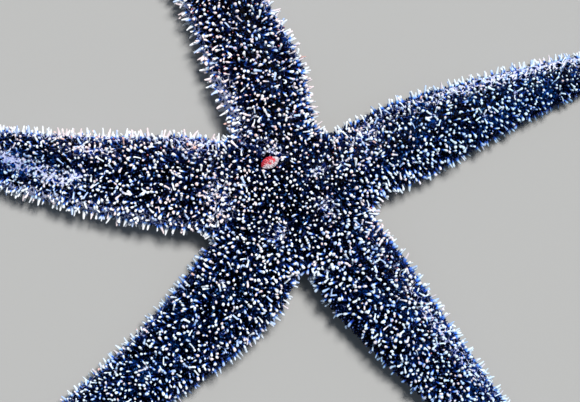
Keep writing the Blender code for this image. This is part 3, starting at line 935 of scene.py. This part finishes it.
def eyespot_material():
    """A red cushion on a tentacle of a dull violet."""
    m = Surface("eyespot_red", Specular_IOR_Level=0.5)
    red = m.ramp(m.noise(2400), (0.35, (0.25, 0.01, 0.008)), (0.65, (0.5, 0.045, 0.02)))
    return m.finish(m.blend(m.alpha, (0.3, 0.26, 0.4), red), 0.22, m.noise(5000), 0.03 * MM, 0.6)


# ---------------- the back


def make_skin(strips, roots, stars, material):
    """One closed skin from all the strips, raised a little round every spine's root and pale in the stars."""
    faces, paints, start = [], [], 0
    for strip in strips:
        rows, columns = len(strip.s), len(strip.share)
        made = grid_faces(rows, columns) + start
        faces.append(made if strip.under else made[:, ::-1])
        start += rows * columns
        s, share = (a.ravel() for a in np.meshgrid(strip.s, strip.share, indexing="ij"))
        arms = np.full(len(s), strip.arm.index)
        shown = smooth_step((np.abs(sideways(share)) - 0.8) / 0.2) if strip.under else 1.0
        pale, warm, cool = (shown * marking(kind, arms, s, share) for kind in ("pale", "warm", "cool"))
        paints.append(np.column_stack([pale, warm, np.zeros(len(s)), cool]))
    points = np.vstack([strip.points.reshape(-1, 3) for strip in strips])
    uv = np.vstack([strip.uv.reshape(-1, 2) for strip in strips])
    paint = np.vstack(paints)
    paint[:, 0] += 0.6 * np.exp(-((nearest(points, stars)[0] / (0.6 * MM)) ** 2))
    paint[:, 2] = raise_by(points, roots) / MOUND_HEIGHT
    skin = make_piece("skin", points, np.vstack(faces), material, uv, paint)
    clean(skin, slivers=True)
    place, normal = (read_points(skin.data, what) for what in ("co", "normal"))
    place = place + normal * raise_by(place, roots)[:, None]
    skin.data.vertices.foreach_set("co", place.astype(np.float32).ravel())
    skin.data.update()
    nodes = ["disc"] + [f"{part}_{name}" for name in ARMS for part in ("arm", "arm_tip")]
    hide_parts(*nodes)


def raise_by(points, roots):
    """How far the skin rises at each point, from the mounds round the roots."""
    away, _ = nearest(points, roots)
    return MOUND_HEIGHT * np.exp(-((away / MOUND_REACH) ** 2))


def sieve_distance(point):
    """How far a point lies from the sieve plate's middle, as a share of the clearing round it."""
    d = point[:, :2] - np.array(centre + SIEVE_PLACE)
    x = d @ np.array([math.cos(SIEVE_TURN), math.sin(SIEVE_TURN)])
    y = d @ np.array([-math.sin(SIEVE_TURN), math.cos(SIEVE_TURN)])
    return np.hypot(x / SIEVE_CLEARING[0], y / SIEVE_CLEARING[1])


def size_at(places):
    """Everything is smaller towards the arms' tips."""
    return np.clip(places.width / USUAL_WIDTH, 0.1, 1) ** 0.35


def spine_roots(backs):
    """Where the spines of the back stand."""
    every = scattered(backs, SPINE_TRIES, 0.05, 0.95)
    on_arm = smooth_step((every.s - DISC_END) / DISC_FADE)
    spacing = mix(DISC_SPACING, SPINE_SPACING, on_arm) * size_at(every)
    steep = smooth_step((np.abs(sideways(every.share)) - FLANK) / FLANK_SLOPE)
    crowding = 1 + CROWDING * np.prod(np.sin(every.point[:, :2] * CROWDS + [1, 2]), axis=1)
    spacing *= APART[every.arm]
    spacing = spacing * crowding * mix(1, FLANK_SPACING, steep) * rng.uniform(*SPACINGS, len(spacing))
    places = thin_out(every, spacing)
    return taken(places, rng.random(len(places.s)) > DIM_LOSS * marked("dim", places))


def make_stars(backs):
    """Places where the spines around lie back from one pale point, as in a star."""
    every = scattered(backs, STAR_TRIES, 0.06, 0.94, 12 * MM)
    every = taken(every, (every.width > 4 * MM) & (sieve_distance(every.point) > 2))
    return thin_out(every, np.full(len(every.s), STAR_SPACING))


def make_spines(roots, stars, material):
    """The back's spines, a piece for each arm: upright on the disc, leaning every way on the arms."""
    n = len(roots.s)
    outer = smooth_step((roots.s - 5 * MM) / (15 * MM))
    stands = rng.random(n) < mix(STANDING_ON_DISC, STANDING[roots.arm], outer)
    direction = tilted(roots.normal, np.where(stands, UPRIGHT, LEANING))
    away, star = nearest(roots.point, stars.point)
    splay = unit(roots.point - stars.point[star] + 1e-9) * 1.3 + 0.7 * roots.normal
    in_star = away < STAR_REACH
    direction[in_star] = unit(splay)[in_star]
    size = size_at(roots)
    length = SPINE_LENGTH * size * rng.uniform(*LENGTHS, n) * mix(0.9, 1.0, outer)
    radius = SPINE_RADIUS * size * rng.uniform(*RADII, n) * mix(0.88, STOUTNESS[roots.arm], outer)
    dark_to = 0.1 * (1 - outer) + 0.09 * (1 - marked("cool", roots))
    pale = in_star | (rng.random(n) < 0.2 * outer)
    pale_from = np.where(pale, 0.5, rng.uniform(0, 0.15, n) - dark_to)
    colour = tint_for(roots)
    twin = (rng.random(n) < TWINS) & ~in_star & (outer > 0.3)
    lean = TWIN_LEAN * unit(np.cross(roots.normal, rng.normal(size=roots.normal.shape)))
    direction[twin] = unit(roots.normal + lean)[twin]
    spines = SimpleNamespace(
        point=roots.point,
        direction=direction,
        length=length * np.where(in_star, 0.85, 1.0),
        radius=radius,
        uv=roots.uv,
        arm=roots.arm,
        colour=colour,
        pale_from=pale_from,
        warm_tip=rng.random(n) < WARM_TIPS[0] + WARM_TIPS[1] * marked("warm", roots),
    )
    others = taken(spines, twin)
    others.direction = unit(roots.normal - lean)[twin]
    others.length *= TWIN_SIZE
    others.radius *= TWIN_SIZE
    spines = joined([spines, others])
    spines.direction = keep_off_floor(spines.point, spines.direction, spines.length)
    make_for_arms("spines", SPINE, spines, material, "spines", taper=0.3, flare=0.45)


def make_gills(backs, roots, material):
    """Soft finger-like gills that crowd between the spines, a piece for each arm."""
    every = scattered(backs, GILL_TRIES)
    every = taken(every, rng.random(len(every.s)) > 1.2 * marked("pale", every))
    places = thin_out(every, GILL_SPACING * size_at(every), [(root, GILL_CLEARING) for root in roots.point])
    n = len(places.s)
    size = size_at(places) * rng.uniform(0.6, 1.25, n)
    places.direction = tilted(places.normal, GILL_LEAN)
    shown = rng.random(n) < mix(*PALE_GILLS, smooth_step((places.s - DISC_END) / GILL_FADE))
    bright = np.where(shown, rng.uniform(0.3, 1.0, n), rng.uniform(0, 0.06, n))
    light = np.clip(bright + rng.uniform(0, 0.4, n) * marked("pale", places), 0, 1)[:, None]
    places.colour = mix(DARK_GILL, PALE_GILL, light)
    places.colour[rng.random(n) < 0.07 * marked("warm", places)] = WARM_GILL
    places.length = GILL_LENGTH * size
    places.radius = GILL_RADIUS * (size * np.where(shown, 0.75, 1.0))
    make_for_arms("gills", GILL, places, material, "skin")


# ---------------- the edges and the underside


def along_edge(sector, share, step, under=False, jitter=0.3, start=NOTCH_RING + 1 * MM, end=FRINGE_END):
    """Places in a row along an arm at one share of its back or underside, closer towards the tip."""
    arm = sector.arm
    s, found = start, []
    while s < arm.length - end:
        found.append(s + rng.uniform(-jitter, jitter) * step)
        s += step * max(0.45, float(arm.full_half_width(s)) / USUAL_WIDTH) ** 0.5
    s = np.array(found)
    share = share + rng.uniform(-0.012, 0.012, len(s))
    shape = sector.under if under else sector.back
    point = shape(s, share)
    ahead = shape(s + 0.05 * MM, share) - point
    across = shape(s, share + 0.002) - point
    width = arm.full_half_width(s)
    return SimpleNamespace(
        point=point,
        normal=unit(np.cross(ahead, across)) * (-1 if under else 1),
        leftward=np.column_stack([arm.leftward(s), np.zeros(len(s))]),
        s=s,
        share=share,
        arm=np.full(len(s), arm.index),
        width=width,
        uv=on_unwrap(arm, under, s, (share - 0.5) * UNWRAP_ACROSS * width),
    )


def make_fringe(sector, material):
    """The stout spines along an arm's two edges, which point outwards in groups that share a foot."""
    parts = []
    rows = [(row, side, FRINGE_END) for row in FRINGE for side in (row[1], 1 - row[1])]
    if sector.arm.name == COMB_ARM:
        rows.append((COMB, COMB[1], sector.arm.length - COMB_END))
    for (under, _, step, most, longer, stouter, rise), share, end in rows:
        feet = along_edge(sector, share, step, under, end=end)
        for chance, aside, shorter in FOOTMATES[:most]:
            places = taken(feet, rng.random(len(feet.s)) < chance * (1 - DIM_LOSS * marked("dim", feet)))
            dim, pale = marked("dim", places), marked("pale", places)
            size = size_at(places) * (1 - 0.3 * dim)
            n = len(size)
            outward = unit(places.normal * np.array([1, 1, 0]))
            aside = aside * rng.choice([-1, 1], (n, 1)) + 0.22 * rng.normal(size=(n, 1))
            lean = np.cross(outward, UP) * aside
            upward = (rise + 0.2 * rng.normal(size=(n, 1))) * UP
            length = SPINE_LENGTH * longer * size * rng.uniform(0.85, 1.15, n) * shorter
            places.length = length * (1 + 0.4 * marked("long", places))
            places.point = places.point + 0.5 * MM * size[:, None] * lean
            places.direction = keep_off_floor(places.point, unit(outward + lean + upward), places.length)
            places.radius = SPINE_RADIUS * stouter * size * rng.uniform(0.9, 1.1, n)
            parts.append(grow(STOUT, places, bend=0.06, taper=0.2, flare=0.3))
            # Painted shade: the underside rows and the dim markings get darker spines, while the pale markings
            # give paler ones.
            light = (0.6 if under else 0.78) + 0.2 * pale - 0.2 * dim
            places.colour = light[:, None] * tint_for(places)
            places.pale_from = 0.12 + 0.45 * pale
    make_grown(f"fringe_{sector.arm.name}", parts, material)


def on_both_sides(v):
    """The two sides of the underside, each with its share at v, which goes from the middle at 0 to 1."""
    return [(side, 0.5 + side * math.asin(v) / math.pi) for side in (-1, 1)]


def make_under_spines(sector, material):
    """The short spines of the sole, and the slender ones that lean over the groove from its two sides."""
    parts = []
    for v, step, length, radius, inward in UNDER_ROWS:
        for side, share in on_both_sides(v):
            places = along_edge(sector, share, step, under=True, start=8 * MM, end=3 * MM)
            n = len(places.s)
            across = places.leftward * -side
            direction = unit(inward * across - 0.55 * UP + 0.2 * rng.normal(size=across.shape))
            places.length = length * size_at(places) * rng.uniform(0.9, 1.1, n)
            places.direction = keep_off_floor(places.point, direction, places.length, UNDER_GAP)
            places.radius = radius * size_at(places)
            parts.append(grow(NEEDLE, places, bend=0.05))
            places.colour = tint_for(places)
    make_grown(f"under_spines_{sector.arm.name}", parts, material)


def make_tube_feet(sector, material):
    """Four rows of tube feet that hang from the groove's roof and end in suckers just over the floor."""
    parts = []
    for v, shift in FOOT_ROWS:
        for side, share in on_both_sides(v):
            start = 7.5 * MM + shift * FOOT_STEP
            places = along_edge(sector, share, FOOT_STEP, under=True, jitter=0.12, start=start, end=6 * MM)
            n = len(places.s)
            across = places.leftward * side
            sway = rng.normal(size=across.shape) * np.array([0.13, 0.13, 0])
            places.direction = unit(-UP + 0.12 * across + sway)
            gap = np.abs(rng.normal(size=n)) * FOOT_GAP + FOOT_GAP
            reach = np.maximum(places.point[:, 2] - gap, FOOT_LEAST)
            places.length = reach / -places.direction[:, 2]
            places.radius = FOOT_RADIUS * size_at(places)
            parts.append(grow(FOOT, places, bend=0.05))
            places.colour = np.array([[1.0, 0.97, 0.9]]) * rng.uniform(0.85, 1.0, (n, 1))
    make_grown(f"tube_feet_{sector.arm.name}", parts, material)


# ---------------- the sieve plate, the mouth and the eyespots


def sieve_ridge(rho, a):
    """The winding ridges of the sieve plate, which branch on their way from its middle to its rim."""
    wander = 0.9 * math.sin(3 * a + 4 * rho) + 0.8 * math.sin(5 * a - 9 * rho)
    inner = math.sin(7 * a + wander + 2 * math.sin(8 * rho))
    outer = math.sin(16 * a + 1.4 * wander + 1.6 * math.sin(9 * rho + a))
    share = float(smooth_step((rho - 0.35) / 0.25))
    return math.tanh(2.0 * mix(inner, outer, share))


def sieve_outline(a):
    """A lobe on the plate's right, a notch before it, and a smaller lobe on the left."""
    reach = 0.97
    for at, spread, out in SIEVE_BULGES:
        away = math.remainder(a - math.radians(at), 2 * math.pi)
        reach += out * math.exp(-((away / math.radians(spread)) ** 2))
    return reach


def sieve_points():
    """The plate as a closed button: its points, with their places in the unit circle and the ridge there."""
    points, places, ridges = [], [], []

    def add(reach, z, rho, a, ridge):
        points.append((SIEVE_RADII[0] * reach * math.cos(a), SIEVE_RADII[1] * reach * math.sin(a), z))
        places.append((rho * math.cos(a), rho * math.sin(a)))
        ridges.append(ridge)

    angles = [2 * math.pi * j / SIEVE_COLUMNS for j in range(SIEVE_COLUMNS)]
    for i in range(SIEVE_ROWS + 1):
        rho = math.sin(math.pi / 2 * i / SIEVE_ROWS)
        for a in angles:
            ridge = sieve_ridge(rho, a)
            rise = SIEVE_RIDGE * ridge * min(1.0, 3 * (1 - rho) + 0.25)
            add(rho * sieve_outline(a), SIEVE_HEIGHT * (1 - rho**2.6) ** 0.6 + rise, rho, a, ridge)
    for a in angles:
        add(0.92, -SIEVE_BASE, 1.08, a, 0.0)
    return np.array(points), np.array(places), np.array(ridges)


def make_sieve():
    """The sieve plate: a button of winding ridges, coral red in its grooves and along its upper left rim."""
    low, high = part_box("madreporite")
    points, places, ridge = sieve_points()
    cos, sin = math.cos(SIEVE_TURN), math.sin(SIEVE_TURN)
    rotate = np.array([[cos, -sin, 0], [sin, cos, 0], [0, 0, 1]])
    world = points @ rotate.T + np.array([*(low + high).xy / 2, high.z - SIEVE_DROP])
    faces = grid_faces(SIEVE_ROWS + 2, SIEVE_COLUMNS, closed=True)
    upper_left = places @ np.array([-0.36, 0.93])
    lobe = smooth_step((places[:, 0] - 0.5) / 0.2)
    on_ridge = smooth_step((ridge + 0.5) / 1.2)
    veins = smooth_step((upper_left + 0.15) / 0.5) * mix(1.0, 0.3, on_ridge)
    rim = smooth_step((np.hypot(*places.T) - 0.5) / 0.25) * smooth_step((upper_left - 0.05) / 0.35)
    pale = 1 - np.clip(veins + rim, 0, 1) * (1 - lobe)
    middle = 1 - smooth_step((np.hypot(*(places - [0.14, 0.12]).T) - 0.38) / 0.25)
    paint = np.column_stack([pale, (ridge + 1) / 2, middle, np.ones(len(pale))])
    sieve = make_piece("sieve_plate", world, faces, sieve_material(), 0.5 + 0.45 * places, paint)
    clean(sieve)
    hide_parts("madreporite")


def make_mouth(tissue):
    """The mouth's soft lip between five jaws."""
    points, uv, paint = [], [], []
    for i in range(LIP_SIDES + 1):
        a = 2 * math.pi * i / LIP_SIDES
        jaw = 1 + 0.14 * math.cos(JAWS * (a - math.radians(JAW_TURN)))
        for j in range(LIP_AROUND + 1):
            b = 2 * math.pi * j / LIP_AROUND
            fold = 1 + 0.08 * math.sin(15 * a) * (0.5 - 0.5 * math.cos(b))
            r = LIP_RADIUS * jaw + LIP_HALF_WIDTH * math.cos(b) * fold
            points.append((r * math.cos(a), r * math.sin(a), LIP_HEIGHT + LIP_HALF_HEIGHT * math.sin(b)))
            uv.append((i / LIP_SIDES, j / LIP_AROUND))
            paint.append((1, 0.92, 0.85, 0.5 + 0.5 * math.cos(b)))
    points = np.array(points) + np.array([*centre, 0])
    faces = grid_faces(LIP_SIDES + 1, LIP_AROUND + 1)
    lip = make_piece("mouth_lip", points, faces, tissue, np.array(uv), np.array(paint))
    clean(lip)
    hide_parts("mouth")


def make_jaw_spines(material):
    """The spines of the jaws, which point inwards over the mouth."""
    roots, directions = [], []
    for k in range(JAWS):
        for spread, r, z in JAW_SPINES:
            a = math.radians(JAW_TURN + 360 / JAWS * k) + spread
            roots.append((r * MM * math.cos(a), r * MM * math.sin(a), z * MM))
            directions.append((-math.cos(a), -math.sin(a), -0.45))
    n = len(roots)
    roots = np.array(roots)
    places = SimpleNamespace(point=roots + np.array([*centre, 0]), uv=0.5 + roots[:, :2] / (14 * MM))
    places.length = JAW_SPINE_LENGTH * rng.uniform(0.9, 1.1, n)
    places.direction = keep_off_floor(places.point, unit(np.array(directions)), places.length, JAW_GAP)
    places.radius = np.full(n, JAW_SPINE_RADIUS)
    grown = grow(SPINE, places, bend=0.05)
    places.colour = np.array([[0.78, 0.72, 0.7]]) * rng.uniform(0.85, 1.05, (n, 1))
    make_grown("jaw_spines", [grown], material)


def make_eyespot(arm, material):
    """The small tentacle that ends an arm, with the red cushion of the eyespot on it."""
    low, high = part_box(f"eyespot_{arm.name}")
    end = np.array((low + high) / 2)
    ahead = np.append(arm.forward(np.float64(arm.length)), 0.0)
    side = np.array([-ahead[1], ahead[0], 0.0])
    template = turned(24, *((r * MM, x * MM) for x, r in TENTACLE))
    world = end + template.points @ np.array([side, UP, ahead])
    x = template.points[:, 2] / MM
    paint = np.column_stack([np.ones((len(x), 3)), smooth_step((x + 0.25) / 0.5)])
    uv = 0.5 + 0.45 * template.flat
    bead = make_piece(f"tentacle_{arm.name}", world, template.faces, material, uv, paint)
    clean(bead)
    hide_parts(f"eyespot_{arm.name}")


# ---------------- floor, light and camera


def make_floor():
    mesh = bpy.data.meshes.new("floor")
    corners = [(x * FLOOR_HALF, y * FLOOR_HALF, 0) for x, y in ((-1, -1), (1, -1), (1, 1), (-1, 1))]
    mesh.from_pydata(corners, [], [(0, 1, 2, 3)])
    mesh.materials.append(Surface("pale_floor", Base_Color=(0.34, 0.34, 0.335, 1), Roughness=0.8).material)
    floor = link("floor", mesh)


def light_scene():
    """A soft pale blue sky, and one distant soft light that leaves the whole floor evenly lit."""
    scene = bpy.context.scene
    scene.world = bpy.data.worlds.new("studio")
    scene.world.use_nodes = True
    background = scene.world.node_tree.nodes["Background"]
    feed(background.inputs["Color"], (0.68, 0.83, 1.0, 1))
    feed(background.inputs["Strength"], 0.21)
    lamp = bpy.data.lights.new("key", "SUN")
    lamp.angle, lamp.energy, lamp.color = math.radians(16), 4.8, (1.0, 0.985, 0.96)
    link("key", lamp).rotation_euler = Vector((0.28, 0.45, 1.0)).to_track_quat("Z", "Y").to_euler()
    scene.view_settings.view_transform = "Standard"
    scene.view_settings.look = "None"


def make_camera():
    """Straight above, a little below and left of the disc's centre, as the animal lies in its picture."""
    data = bpy.data.cameras.new("camera")
    data.sensor_width = SENSOR
    data.lens = SENSOR * (CAMERA_HEIGHT - CAMERA_FOCUS) / CAMERA_FIELD
    data.clip_start = 0.01
    camera = link("camera", data)
    camera.location = (centre.x - 2 * MM, centre.y - 4 * MM, CAMERA_HEIGHT)
    bpy.context.scene.camera = camera


def main():
    sectors = make_sectors()
    backs = [make_strip(sector, False) for sector in sectors]
    unders = [make_strip(sector, True) for sector in sectors]
    roots = spine_roots(backs)
    stars = make_stars(backs)
    chalk = spine_material()
    tissue = soft_material("soft_tissue", (0.42, 0.26, 0.15), (0.85, 0.7, 0.5))
    red = eyespot_material()
    make_skin(backs + unders, roots.point, stars.point, skin_material())
    make_spines(roots, stars, chalk)
    make_gills(backs, roots, soft_material("gill", (0.06, 0.12, 0.42), (0.45, 0.55, 0.9), 0.2))
    for sector in sectors:
        make_fringe(sector, chalk)
        make_under_spines(sector, chalk)
        make_tube_feet(sector, tissue)
        make_eyespot(sector.arm, red)
    make_sieve()
    make_mouth(tissue)
    make_jaw_spines(chalk)
    make_floor()
    light_scene()
    make_camera()


main()
